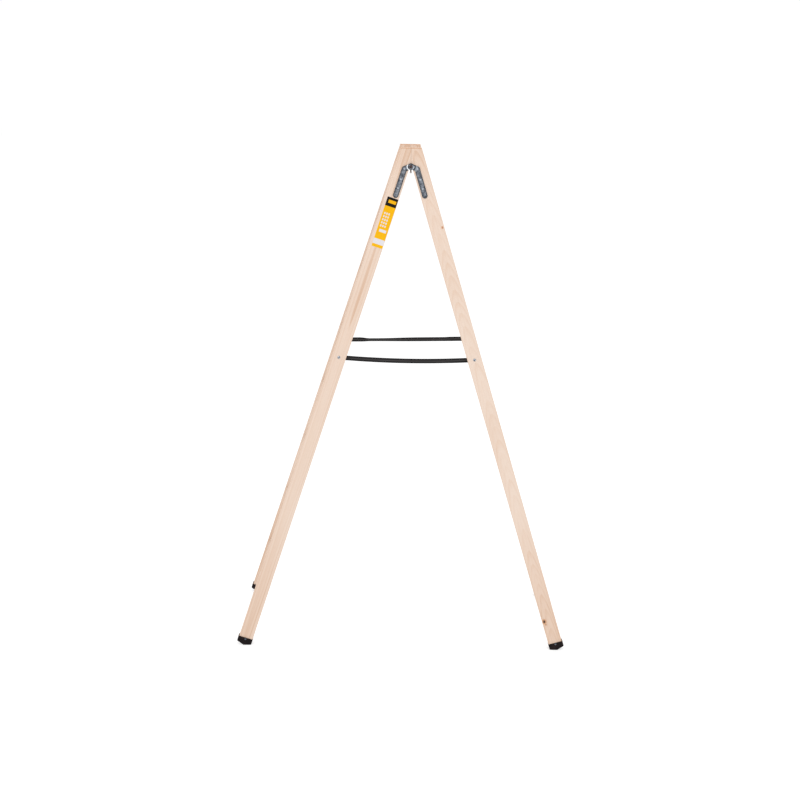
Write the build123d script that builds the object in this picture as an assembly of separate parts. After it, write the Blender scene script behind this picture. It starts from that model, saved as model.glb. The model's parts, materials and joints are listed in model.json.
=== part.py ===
from build123d import *
import math
import os

# A double-sided wooden stepladder, standing open on the floor. Millimetres and degrees, +Z up.
# X is the direction in which the two sections stand apart, Y is the width of the rungs.
# The pieces of the front right corner are modelled once, in the frame of the right section held
# upright with the hinge pivot at the origin, then leant over and mirrored to the other corners.

# Whole ladder
lean_angle = 17.5          # each section, from upright
open_height = 2146.0       # floor to the level tops
top_half_length = 43.5     # level top of one section, from the seam outwards
top_outer_width = 300.0    # over the stiles at their tops
foot_outer_width = 620.0   # over the stiles at the floor
seam_gap = 0.6             # between the mitred tops of the two sections
fold_gap = 0.8             # least room between the foot caps of the folded ladder

# Stiles
stile_width = 60.0
stile_thickness = 28.0
stile_edge_radius = 1.5

# Rungs, let into the stiles with blind tenons
rung_pitch = 281.0         # along the slope, the first one counted from the floor
rung_depth = 34.0
rung_height = 22.0
rung_edge_radius = 4.0
rung_outward_shift = 4.0   # from the middle of the stile towards the climbing side
rung_hinge_clearance = 40.0  # least room between the top rung and the hinge leaves
tenon_side_shoulder = 5.0
tenon_face_shoulder = 4.5
tenon_edge_radius = 1.5
mortise_back_wall = 9.0    # wood left between the mortise and the outer face
mortise_end_gap = 1.0
glue_gap = 0.1

# Foot caps
cap_wall = 3.0
cap_inner_wall = 1.2       # on the edge that meets the other section when the ladder is folded
cap_fit_gap = 0.1
cap_edge_radius = 1.2
cap_sole = 5.4             # least thickness under the end of the stile
cap_wrap = 18.0            # height of the rim above the end of the stile
cap_screw_rise = 12.0      # screw above the end of the stile

# Hinge leaves
leaf_thickness = 2.5
leaf_width = 22.0
leaf_eye_rim = 2.0         # eye's radius beyond half the leaf's width
leaf_neck_angle = 53.0     # neck from the stile's direction
leaf_end_drop = 129.5      # centre of the rounded end below the pivot
leaf_end_screw_gap = 29.5  # lowest screw above the centre of the rounded end
leaf_screw_pitch = 38.0
leaf_gap = 0.3             # between parts of the hinge that turn on each other
leaf_step_inset = 0.6      # raised eye's flat beyond the lower eye's rim
leaf_step_run = 4.0        # length of the slope round the raised eye
elbow_screw_gap = 5.5      # least room from the slope to the head of the screw at the elbow

# Pivot pins
pin_radius = 3.0
pin_side_gap = 1.0         # from the pin to the inner edge of each stile
pin_running_gap = 0.05
pin_head_radius = 7.0
pin_head_height = 4.0
pin_slot_width = 1.6
pin_slot_depth = 1.4
pin_end_play = 0.1
pin_tail = 3.0             # past the split pin
washer_radius = 9.5
washer_thickness = 1.5
split_leg_radius = 1.1
split_leg_offset = 0.15    # root of each leg from the middle of the shank
split_hole_gap = 0.05
split_loop_bore = 0.2
split_leg_drop = 27.0      # leg tips below the pivot
split_side_gap = 0.5       # from the leg tips to the stiles of the folded ladder

# Wood screws
screw_radius = 2.2
screw_back_wall = 8.5      # wood left between a leaf's screws and the inner face
screw_tip_length = 4.0
screw_tip_radius = 0.55
screw_head_radius = 4.6
screw_head_height = 2.6
screw_slot_width = 1.1
screw_slot_depth = 1.0
screw_slot_turn = 137.0    # from one screw's slot to the next one's
screw_hole_gap = 0.2       # in metal and plastic
pilot_gap = 0.02           # in wood

# Straps and their bolts
strap_rung = 5             # the bolts are below this rung
strap_below_rung = 66.5    # along the slope
strap_width = 20.0
strap_thickness = 1.8
front_strap_drop = 4.0     # middle line of the strap's ends below the bolts
front_strap_sag = 10.0
rear_strap_drop = -1.5
rear_strap_sag = 0.5
strap_tail = 15.0          # past each bolt
strap_seat_gap = 0.3
bolt_radius = 3.0
bolt_hole_gap = 0.25       # in the strap
bolt_head_radius = 6.5
bolt_head_height = 3.4
bolt_end = 2.5             # past the nut
strap_washer_radius = 9.0
strap_washer_thickness = 1.6
nut_across_flats = 10.0
nut_height = 5.0

# Sticker on the left front stile
label_inner_gap = 1.5      # from the stile's inner edge
label_outer_gap = 12.5     # from the stile's outer edge
label_leaf_gap = 3.5       # below the hinge leaf's end
label_length = 213.0
label_thickness = 0.25
label_corner_radius = 2.0

# How far a cut runs past the faces that it opens
cut_margin = 1.0

# Worked out from the sizes above
lean = math.radians(lean_angle)
cap_outset = cap_wall + cap_fit_gap
cap_inner_outset = cap_inner_wall + cap_fit_gap
pivot_edge_gap = max(pin_radius + pin_side_gap, cap_inner_outset + fold_gap / 2)
stile_middle = pivot_edge_gap + stile_width / 2
apex_height = open_height - (stile_width / math.cos(lean) - top_half_length) / math.tan(lean)
pivot_height = apex_height - pivot_edge_gap / math.sin(lean)
slope_length = open_height / math.cos(lean)
floor_z = -(pivot_height + stile_middle * math.sin(lean)) / math.cos(lean)
splay = math.atan((foot_outer_width - top_outer_width) / 2 / slope_length)
stile_frame = Plane(
    origin=(stile_middle, -foot_outer_width / 2, floor_z),
    x_dir=(1, 0, 0),
    z_dir=(0, math.sin(splay), math.cos(splay)),
)
reach = 2 * (open_height + foot_outer_width)   # longer than anything on the ladder
cap_floor = cap_sole + (stile_width / 2 + cap_outset) * math.tan(lean)   # end of the stile above the sole
cap_rim = cap_floor + cap_wrap
eye_radius = leaf_width / 2 + leaf_eye_rim
raised_flat_radius = eye_radius + leaf_step_inset
raised_foot_radius = raised_flat_radius + leaf_step_run
eye_standoff = raised_foot_radius * math.tan(splay) + leaf_gap
neck_length = raised_foot_radius + elbow_screw_gap + screw_head_radius
elbow_x = neck_length * math.sin(math.radians(leaf_neck_angle))
elbow_z = -neck_length * math.cos(math.radians(leaf_neck_angle))
leaf_tip_z = -leaf_end_drop - leaf_width / 2
screw_length = leaf_thickness + stile_thickness - screw_back_wall
tenon_depth = rung_depth - 2 * tenon_side_shoulder
tenon_height = rung_height - 2 * tenon_face_shoulder
mortise_length = stile_thickness - mortise_back_wall


def outer_face_y(z):
    """Front stile's outer face in the section's frame, at height z."""
    return -foot_outer_width / 2 + (z - floor_z) * math.tan(splay)


def inner_face_y(z):
    """Front stile's inner face in the section's frame, at height z."""
    return outer_face_y(z) + stile_thickness / math.cos(splay)


def along_stile(z):
    """Distance along the stile from the floor to height z of the section's frame."""
    return (z - floor_z) / math.cos(splay)


def face_plane(x, along, lift=0.0):
    """Plane on the front stile's outer face, raised by lift, with its Z pointing out of the wood."""
    origin = stile_frame.from_local_coords((x, -lift, along))
    return Plane(origin=origin, x_dir=(1, 0, 0), z_dir=-stile_frame.y_dir)


def pivot_plane(x, y, z):
    """Plane square to the pivot, with its Z pointing out of the wood."""
    return Plane(origin=(x, y, z), x_dir=(1, 0, 0), z_dir=(0, -1, 0))


def stand(piece):
    """Leans a piece of the upright right section over to its place on the open ladder."""
    return Pos(0, 0, pivot_height) * Rot(0, -lean_angle, 0) * piece


def corner(piece, side, face):
    """Copies a front right piece, already leant over, to the named corner."""
    if side == "left":
        piece = mirror(piece, about=Plane.YZ)
    if face == "rear":
        piece = mirror(piece, about=Plane.XZ)
    return piece


def group(pieces):
    """Separate solids that share one node."""
    return Compound(children=[solid for piece in pieces for solid in piece.solids()])


def standing_cylinder(radius, height):
    """Cylinder from its base plane upwards."""
    return Cylinder(radius, height, align=(Align.CENTER, Align.CENTER, Align.MIN))


def hanging_cylinder(radius, depth):
    """Cylinder from its top plane downwards."""
    return Cylinder(radius, depth, align=(Align.CENTER, Align.CENTER, Align.MAX))


def through_hole(radius, depth):
    """Hole down from Z = 0 through a wall of this depth, cut past both faces."""
    return Pos(0, 0, cut_margin) * hanging_cylinder(radius, depth + 2 * cut_margin)


def rod(start, end, radius):
    """Round rod between two points."""
    run = Vector(*end) - Vector(*start)
    return Plane(origin=start, z_dir=run) * standing_cylinder(radius, run.length)


def dome(radius, height):
    """Shallow round head standing on its base plane."""
    ball = (radius**2 + height**2) / (2 * height)
    return Pos(0, 0, height - ball) * Sphere(ball) & standing_cylinder(radius, height)


def slotted_dome(radius, height, slot_width, slot_depth):
    """Round head with one screwdriver slot along X."""
    slot = Pos(0, 0, height - slot_depth / 2) * Box(2 * radius, slot_width, slot_depth)
    return dome(radius, height) - slot


def wood_screw(number):
    """Round-headed screw along Z, its head standing on Z = 0 and its slot turned by its number."""
    head = slotted_dome(screw_head_radius, screw_head_height, screw_slot_width, screw_slot_depth)
    shank = hanging_cylinder(screw_radius, screw_length - screw_tip_length)
    tip = Pos(0, 0, screw_tip_length - screw_length) * Cone(
        screw_tip_radius, screw_radius, screw_tip_length, align=(Align.CENTER, Align.CENTER, Align.MAX)
    )
    return Rot(0, 0, number * screw_slot_turn) * (head + shank + tip)


def pilot_hole():
    """Hole in the wood for a wood screw."""
    return hanging_cylinder(screw_radius + pilot_gap, screw_length + pilot_gap)


# Places of the rungs and fasteners
rung_room = leaf_tip_z - rung_hinge_clearance - floor_z
rung_heights = [floor_z + rung_pitch * (index + 1) for index in range(int(rung_room // rung_pitch))]
strap_along = along_stile(floor_z + strap_rung * rung_pitch - strap_below_rung)
bolt_plane = face_plane(0, strap_along)
eye_y = outer_face_y(0) - eye_standoff
lowest_screw_z = leaf_end_screw_gap - leaf_end_drop
leaf_screw_planes = [pivot_plane(elbow_x, eye_y - leaf_thickness, elbow_z)] + [
    face_plane(elbow_x - stile_middle, along_stile(z), leaf_thickness)
    for z in (lowest_screw_z + leaf_screw_pitch, lowest_screw_z)
]
cap_screw_plane = face_plane(0, cap_floor + cap_screw_rise, cap_outset)


def rung_plane(z):
    """Plane across the rung at height z of the section, level with the tread of the open ladder."""
    return Plane(
        origin=(stile_middle + rung_outward_shift, 0, z),
        x_dir=(math.cos(lean), 0, -math.sin(lean)),
        z_dir=(0, -1, 0),
    )


def rung(z):
    """One rung between the inner faces, with a tenon at each end."""
    low = z - rung_pitch / 2
    high = z + rung_pitch / 2
    between_stiles = Plane.YZ * Polygon(
        (inner_face_y(low), low),
        (-inner_face_y(low), low),
        (-inner_face_y(high), high),
        (inner_face_y(high), high),
        align=None,
    )
    bar_outline = RectangleRounded(rung_depth, rung_height, rung_edge_radius)
    bar = extrude(rung_plane(z) * bar_outline, reach / 2, both=True)
    bar &= extrude(between_stiles, reach / 2, both=True)
    tenon_outline = RectangleRounded(tenon_depth, tenon_height, tenon_edge_radius)
    tenon_end = mortise_length - mortise_end_gap - inner_face_y(z)
    return bar + extrude(rung_plane(z) * tenon_outline, tenon_end, both=True)


def mortise(z):
    """Pocket in both stiles for the tenons of the rung at height z."""
    outline = RectangleRounded(
        tenon_depth + 2 * glue_gap, tenon_height + 2 * glue_gap, tenon_edge_radius + glue_gap
    )
    return extrude(rung_plane(z) * outline, mortise_length - inner_face_y(z), both=True)


def stile():
    """Straight length of timber, mitred and levelled at the top and cut square at the foot."""
    outline = RectangleRounded(stile_width, stile_thickness, stile_edge_radius)
    timber = extrude(
        stile_frame.offset(cap_floor) * Pos(0, stile_thickness / 2) * outline, along_stile(slope_length)
    )
    for z in rung_heights:
        timber -= mortise(z)
    for plane in leaf_screw_planes + [cap_screw_plane]:
        timber -= plane * pilot_hole()
    timber -= bolt_plane * through_hole(bolt_radius + pilot_gap, stile_thickness)
    keep = Pos(seam_gap / 2, 0, open_height) * Box(
        reach, reach, reach, align=(Align.MIN, Align.CENTER, Align.MAX)
    )
    return stand(timber) & keep


def foot_cap():
    """Moulded cap whose sole has one facet flat on the floor and one that faces away from it."""
    outline = Pos((cap_outset - cap_inner_outset) / 2, 0) * RectangleRounded(
        stile_width + cap_outset + cap_inner_outset,
        stile_thickness + 2 * cap_outset,
        stile_edge_radius + cap_outset,
    )
    socket = RectangleRounded(
        stile_width + 2 * cap_fit_gap, stile_thickness + 2 * cap_fit_gap, stile_edge_radius + cap_fit_gap
    )
    middle = Pos(0, stile_thickness / 2)
    side = stile_width
    rise = side * math.tan(lean)
    sole = Plane.XZ * Polygon(
        (stile_middle, floor_z),
        (stile_middle + side, floor_z + rise),
        (stile_middle + side, floor_z + rise + cap_rim),
        (stile_middle - side, floor_z + rise + cap_rim),
        (stile_middle - side, floor_z + rise),
        align=None,
    )
    block = extrude(stile_frame.offset(-cap_rim) * middle * outline, 2 * cap_rim)
    block &= extrude(sole, reach / 2, both=True)
    low_edges = [edge for edge in block.edges() if edge.center().Z < floor_z + cap_floor]
    sole_edges = [edge for edge in low_edges if abs(edge.tangent_at(0.5).Z) < math.cos(math.pi / 4)]
    block = fillet(sole_edges, cap_edge_radius)
    block -= extrude(stile_frame.offset(cap_floor) * middle * socket, cap_rim)
    return block - cap_screw_plane * through_hole(screw_radius + screw_hole_gap, cap_wall)


def leaf_strip():
    """Sheet metal that lies on the stile below and stands square to the pivot at the eye."""
    knee_z = -eye_standoff / math.tan(splay)
    low_z = leaf_tip_z - leaf_width
    low = Vector(outer_face_y(low_z), low_z)
    low_out = low + Vector(-math.cos(splay), math.sin(splay)) * leaf_thickness
    top_z = eye_radius + leaf_width
    profile = Plane.YZ * Polygon(
        (low.X, low.Y),
        (eye_y, knee_z),
        (eye_y, top_z),
        (eye_y - leaf_thickness, top_z),
        (eye_y - leaf_thickness, knee_z + leaf_thickness * math.tan(splay / 2)),
        (low_out.X, low_out.Y),
        align=None,
    )
    return extrude(profile, reach / 2, both=True)


def leaf_outline():
    """Leaf seen along the pivot: round eye, sloping neck and long arm."""
    neck = Pos(elbow_x / 2, elbow_z / 2) * Rot(0, 0, leaf_neck_angle - 90) * SlotCenterToCenter(
        neck_length, leaf_width
    )
    arm_length = elbow_z + leaf_end_drop
    arm = Pos(elbow_x, (elbow_z - leaf_end_drop) / 2) * Rot(0, 0, 90) * SlotCenterToCenter(
        arm_length, leaf_width
    )
    return Circle(eye_radius) + neck + arm


def hinge_leaf(raised):
    """One leaf of the hinge. The raised one steps over the eye of the other."""
    plan = extrude(Plane.XZ * leaf_outline(), reach / 2, both=True)
    along_pivot = pivot_plane(0, 0, 0)
    leaf = plan & leaf_strip()
    if raised:
        raised_y = eye_y - leaf_thickness - leaf_gap
        boss = Plane.XY * Polygon(
            (0, raised_y),
            (raised_flat_radius, raised_y),
            (raised_foot_radius, eye_y),
            (raised_foot_radius, eye_y - leaf_thickness),
            (raised_flat_radius, raised_y - leaf_thickness),
            (0, raised_y - leaf_thickness),
            align=None,
        )
        leaf -= along_pivot * Cylinder(raised_foot_radius, reach)
        leaf += revolve(boss, Axis.Y) & plan
    leaf -= along_pivot * Cylinder(pin_radius + pin_running_gap, reach)
    for plane in leaf_screw_planes:
        leaf -= plane * through_hole(screw_radius + screw_hole_gap, leaf_thickness)
    return leaf


# Stack of the pivot from the outside in
raised_eye_face = eye_y - 2 * leaf_thickness - leaf_gap
washer_seat = raised_eye_face - pin_end_play
head_seat = washer_seat - washer_thickness
split_shank_radius = split_leg_radius + split_leg_offset
split_y = eye_y + leaf_gap + split_shank_radius


def pivot_pin():
    """Slotted round-headed pin with a cross hole for the split pin."""
    tail_y = split_y + split_shank_radius + pin_tail
    pin = pivot_plane(0, head_seat, 0) * (
        slotted_dome(pin_head_radius, pin_head_height, pin_slot_width, pin_slot_depth)
        + hanging_cylinder(pin_radius, tail_y - head_seat)
    )
    cross_hole = through_hole(split_shank_radius + split_hole_gap, 2 * pin_radius)
    return Pos(0, 0, pivot_height) * (pin - Pos(0, split_y, pin_radius) * cross_hole)


def pivot_washer():
    """Washer under the head of the pivot pin."""
    ring = standing_cylinder(washer_radius, washer_thickness)
    ring -= Pos(0, 0, washer_thickness) * through_hole(pin_radius + pin_running_gap, washer_thickness)
    return pivot_plane(0, washer_seat, pivot_height) * ring


def split_pin():
    """Split pin through the pivot pin behind the leaves, its loop above and its legs spread below."""
    shank_end = pin_radius + split_leg_radius
    loop_radius = split_leg_radius + split_loop_bore
    leg_tip_x = pivot_edge_gap - split_leg_radius - split_side_gap
    pin = Pos(0, 0, shank_end + loop_radius) * Rot(90, 0, 0) * Torus(loop_radius, split_leg_radius)
    pin += rod((0, 0, -shank_end), (0, 0, shank_end), split_shank_radius)
    for side in (-1, 1):
        root = (side * split_leg_offset, 0, split_leg_offset - shank_end)
        pin += rod(root, (side * leg_tip_x, 0, -split_leg_drop), split_leg_radius)
    return Pos(0, split_y, pivot_height) * pin


# The inner face of the right front stile at the strap bolt, on the open ladder, and the stack on it
inner_normal = Vector(
    math.sin(splay) * math.sin(lean), math.cos(splay), -math.sin(splay) * math.cos(lean)
)
face_slant = inner_normal.X / inner_normal.Y
strap_tilt = math.atan2(-inner_normal.Z, inner_normal.Y)
strap_lift = stile_width / 2 / math.cos(lean) * face_slant + strap_seat_gap
clamp_lift = strap_lift + strap_thickness + strap_tail * face_slant + strap_seat_gap
bolt_inside = stand(Pos(*stile_frame.from_local_coords((0, stile_thickness, strap_along)))).position


def strap(sag, drop):
    """Webbing band from bolt to bolt, hanging a little slack, its flat side against the inner faces."""
    end_x = bolt_inside.X + strap_tail
    end_rise = sag * ((end_x / bolt_inside.X) ** 2 - 1) - drop
    edge_lines = [
        ThreePointArc((-end_x, end_rise + edge), (0, edge - sag - drop), (end_x, end_rise + edge))
        for edge in (-strap_width / 2, strap_width / 2)
    ]
    ends = [Line(edge_lines[0] @ end, edge_lines[1] @ end) for end in (0, 1)]
    frame = Plane(
        origin=(0, bolt_inside.Y + strap_lift, bolt_inside.Z),
        x_dir=(1, 0, 0),
        z_dir=(0, -math.cos(strap_tilt), math.sin(strap_tilt)),
    )
    band = extrude(frame * make_face(edge_lines + ends), -strap_thickness)
    for x in (-bolt_inside.X, bolt_inside.X):
        band -= frame * Pos(x, 0) * through_hole(bolt_radius + bolt_hole_gap, strap_thickness)
    return band


def strap_bolt():
    """Round-headed bolt through the stile and the strap."""
    length = stile_thickness + clamp_lift + strap_washer_thickness + nut_height + bolt_end
    return bolt_plane * (dome(bolt_head_radius, bolt_head_height) + hanging_cylinder(bolt_radius, length))


def strap_washer():
    """Washer on the strap, inside the stile."""
    ring = hanging_cylinder(strap_washer_radius, strap_washer_thickness)
    ring -= through_hole(bolt_radius + pilot_gap, strap_washer_thickness)
    return bolt_plane * Pos(0, 0, -stile_thickness - clamp_lift) * ring


def strap_nut():
    """Hexagon nut on the washer."""
    hexagon = RegularPolygon(nut_across_flats / 2, 6, major_radius=False)
    nut = extrude(hexagon, -nut_height) - through_hole(bolt_radius + pilot_gap, nut_height)
    return bolt_plane * Pos(0, 0, -stile_thickness - clamp_lift - strap_washer_thickness) * nut


def label():
    """Thin plain sticker below the hinge, on the outer face."""
    width = stile_width - label_inner_gap - label_outer_gap
    plane = face_plane(
        (label_inner_gap - label_outer_gap) / 2, along_stile(leaf_tip_z - label_leaf_gap) - label_length / 2
    )
    return extrude(plane * RectangleRounded(width, label_length, label_corner_radius), label_thickness)


def build_nodes():
    """All pieces of the ladder, by the name of their node."""
    nodes = {}
    stile_piece = stile()
    cap_piece = stand(foot_cap())
    leaf_pieces = {"left": stand(hinge_leaf(raised=False)), "right": stand(hinge_leaf(raised=True))}
    rung_pieces = [stand(rung(z)) for z in rung_heights]
    leaf_screws = [stand(plane * wood_screw(number)) for number, plane in enumerate(leaf_screw_planes)]
    pair_pieces = {
        "foot_screws": stand(cap_screw_plane * wood_screw(len(leaf_screws))),
        "strap_bolts": stand(strap_bolt()),
        "strap_washers": stand(strap_washer()),
        "strap_nuts": stand(strap_nut()),
    }
    for side in ("left", "right"):
        for face in ("front", "rear"):
            nodes[f"{side}_{face}_stile"] = corner(stile_piece, side, face)
            nodes[f"{side}_{face}_foot_cap"] = corner(cap_piece, side, face)
            nodes[f"{side}_{face}_hinge_leaf"] = corner(leaf_pieces[side], side, face)
        for number, piece in enumerate(rung_pieces, start=1):
            nodes[f"{side}_rung_{number}"] = corner(piece, side, "front")
        nodes[f"{side}_hinge_screws"] = group(
            corner(screw, side, face) for face in ("front", "rear") for screw in leaf_screws
        )
        for name, piece in pair_pieces.items():
            nodes[f"{side}_{name}"] = group(corner(piece, side, face) for face in ("front", "rear"))
    for face in ("front", "rear"):
        nodes[f"{face}_pivot_pin"] = corner(pivot_pin(), "right", face)
        nodes[f"{face}_pivot_washer"] = corner(pivot_washer(), "right", face)
        nodes[f"{face}_split_pin"] = corner(split_pin(), "right", face)
    nodes["front_strap"] = corner(strap(front_strap_sag, front_strap_drop), "right", "front")
    nodes["rear_strap"] = corner(strap(rear_strap_sag, rear_strap_drop), "right", "rear")
    nodes["label"] = corner(stand(label()), "left", "front")
    return nodes


os.makedirs("parts", exist_ok=True)
for node, piece in build_nodes().items():
    export_step(piece, f"parts/{node}.step")
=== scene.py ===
import json
import logging
import math
import random
from collections.abc import Callable
from dataclasses import dataclass, field
from enum import Enum
from statistics import fmean

import bmesh
import bpy
from bmesh.types import BMEdge, BMesh, BMVert
from bpy.types import ColorRamp, ID, Material, Node, NodeSocket, Object
from mathutils import Matrix, Vector


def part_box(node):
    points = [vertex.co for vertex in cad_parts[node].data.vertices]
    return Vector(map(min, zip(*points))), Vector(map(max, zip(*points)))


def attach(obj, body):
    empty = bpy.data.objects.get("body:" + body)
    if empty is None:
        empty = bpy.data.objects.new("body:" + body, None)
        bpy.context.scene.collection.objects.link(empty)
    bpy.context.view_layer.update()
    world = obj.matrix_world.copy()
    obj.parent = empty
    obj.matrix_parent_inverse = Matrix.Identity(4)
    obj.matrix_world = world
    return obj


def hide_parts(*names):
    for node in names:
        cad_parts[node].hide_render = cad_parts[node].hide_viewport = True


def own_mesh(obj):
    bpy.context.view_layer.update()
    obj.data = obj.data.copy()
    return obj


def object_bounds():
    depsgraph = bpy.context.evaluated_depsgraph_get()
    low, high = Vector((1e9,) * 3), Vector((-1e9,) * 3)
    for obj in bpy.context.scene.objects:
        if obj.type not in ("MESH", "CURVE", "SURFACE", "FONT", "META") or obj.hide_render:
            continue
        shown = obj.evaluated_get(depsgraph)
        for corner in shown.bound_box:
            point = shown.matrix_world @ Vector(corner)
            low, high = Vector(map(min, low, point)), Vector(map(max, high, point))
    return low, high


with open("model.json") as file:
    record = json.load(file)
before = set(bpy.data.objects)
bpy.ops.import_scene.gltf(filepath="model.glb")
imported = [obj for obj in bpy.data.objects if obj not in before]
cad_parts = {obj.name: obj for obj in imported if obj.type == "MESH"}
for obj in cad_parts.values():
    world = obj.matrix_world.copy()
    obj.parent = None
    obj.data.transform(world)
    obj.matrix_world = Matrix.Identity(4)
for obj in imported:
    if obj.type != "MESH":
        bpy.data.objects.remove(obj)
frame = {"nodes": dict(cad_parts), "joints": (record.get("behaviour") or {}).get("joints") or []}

# Looks of a double-sided wooden stepladder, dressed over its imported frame. Metres, +Z up.
# X is the direction in which the two sections stand apart, Y is the width of the rungs.

LOG = logging.getLogger("stepladder")
CAD_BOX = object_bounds()
MERGE = 2e-6  # vertices closer than this are one
TOUCH = 1e-7  # a vertex this close to a plane lies in it
FLAT = math.radians(0.4)  # between faces that are joined
HARD = math.radians(35.0)  # between faces whose edge is rounded
SHARP = math.radians(38.0)  # between faces that are shaded apart
Colour = tuple[float, float, float]
Triple = tuple[float, float, float]
Pair = tuple[float, float]
Field = tuple[float, float, float, float]  # start and end down a film, near and far across it
Values = dict[str | int, object]


class Sign(Enum):
    """One of two places, by the sign of a coordinate."""

    @property
    def word(self) -> str:
        """The place's word in the names of nodes."""
        return self.name.lower()


class Side(Sign):
    """The two sections, by the sign of their X."""

    LEFT = -1
    RIGHT = 1

    @property
    def body(self) -> str:
        """The CAD body that the section's pieces ride on."""
        return f"{self.word}_section"


class Face(Sign):
    """The two ends of the rungs, by the sign of their Y."""

    FRONT = -1
    REAR = 1


CORNERS = [(side, face) for side in Side for face in Face]


def arithmetic(operation: str, swapped: bool = False) -> Callable[["Wire", "Wire | float"], "Wire"]:
    """The method behind one sign of arithmetic.

    Args:
        operation: what its Math node does.
        swapped: whether the wire stands on the right of the sign.

    Returns:
        The method.
    """

    def method(wire: "Wire", other: "Wire | float") -> "Wire":
        """Feeds both values to one Math node."""
        values = (other, wire) if swapped else (wire, other)
        return wire.bench.maths(operation, *values)

    return method


@dataclass(frozen=True)
class Wire:
    """One output of a shader node, with the arithmetic that patterns are written in."""

    bench: "Bench"
    source: Node
    output: str | int

    __add__ = arithmetic("ADD")
    __radd__ = arithmetic("ADD", swapped=True)
    __sub__ = arithmetic("SUBTRACT")
    __rsub__ = arithmetic("SUBTRACT", swapped=True)
    __mul__ = arithmetic("MULTIPLY")
    __rmul__ = arithmetic("MULTIPLY", swapped=True)
    __truediv__ = arithmetic("DIVIDE")

    @property
    def socket(self) -> NodeSocket:
        """The socket that a link starts from."""
        return self.source.outputs[self.output]

    def other(self, name: str) -> "Wire":
        """Another output of the same node."""
        return Wire(self.bench, self.source, name)

    def maths(self, operation: str, *others: "Wire | float") -> "Wire":
        """Feeds this value and the others to one Math node."""
        return self.bench.maths(operation, self, *others)

    def __abs__(self) -> "Wire":
        """Size without its sign."""
        return self.maths("ABSOLUTE")

    def ramp(self, low: float, high: float) -> "Wire":
        """Smooth step from 0 at low to 1 at high."""
        inputs = {"Value": self, "From Min": low, "From Max": high}
        return self.bench.node("ShaderNodeMapRange", {"interpolation_type": "SMOOTHSTEP"}, inputs)


@dataclass(frozen=True)
class Texture:
    """Cloudy noise between 0 and 1, and its part in a pattern."""

    waves: Triple  # per metre along each axis
    detail: float = 2.0
    roughness: float = 0.5
    weight: float = 1.0  # in what it is added to
    limits: Pair = (0.0, 1.0)  # values at which its peaks start to show and show in full
    mean: float = 0.5


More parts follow.
